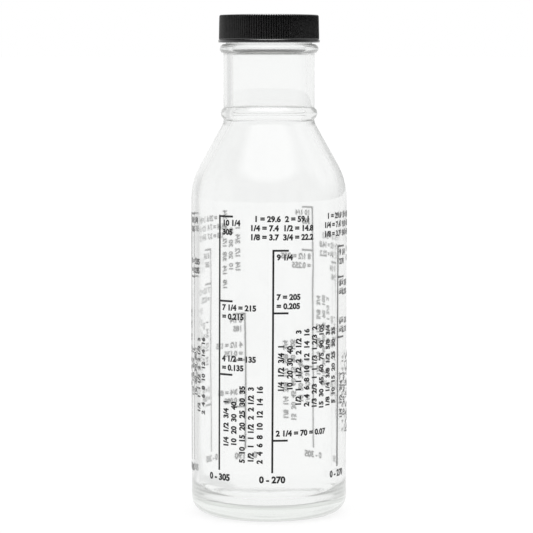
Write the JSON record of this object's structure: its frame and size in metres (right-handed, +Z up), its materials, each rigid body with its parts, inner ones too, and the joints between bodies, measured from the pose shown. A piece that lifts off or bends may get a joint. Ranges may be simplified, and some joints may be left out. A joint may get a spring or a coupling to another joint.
{
  "type": "salad dressing shaker bottle",
  "caption": "Clear glass ring-neck shaker bottle with printed measuring scales and a ribbed black screw cap sealed by a soft liner.",
  "frame": {"origin": "centre of the base, on the plane that the bottle stands on", "axes": "+Z up along the bottle's axis; -Y is the front, as pictured"},
  "size_m": [0.0635, 0.0635, 0.2036],
  "materials": {
    "clear_glass": "clear flint soda-lime glass, fire-polished",
    "cap_plastic": "black injection-moulded polypropylene, satin gloss",
    "liner_foam": "white foamed polyethylene sheet",
    "black_enamel": "black fired ceramic enamel print"
  },
  "bodies": {
    "bottle": {"bottle": "clear_glass", "measuring_scale_1": "black_enamel", "measuring_scale_2": "black_enamel", "measuring_scale_3": "black_enamel", "measuring_scale_4": "black_enamel", "measuring_scale_5": "black_enamel", "measuring_scale_6": "black_enamel", "measuring_scale_7": "black_enamel", "measuring_scale_8": "black_enamel"},
    "liner": {"cap_liner": "liner_foam"},
    "cap": {"screw_cap": "cap_plastic"}
  },
  "joints": [
    {"name": "cap_lift", "type": "slide", "parent": "bottle", "child": "liner", "axis": [0, 0, 1], "range_m": [0, 0.0127]},
    {"name": "cap_turn", "type": "hinge", "parent": "liner", "child": "cap", "pos_m": [0, 0, 0.1978], "axis": [0, 0, 1], "range_deg": [0, 1080]}
  ],
  "couplings": [
    {"joint": "cap_turn", "follows": "cap_lift", "rad_per_m": 1484.2}
  ]
}
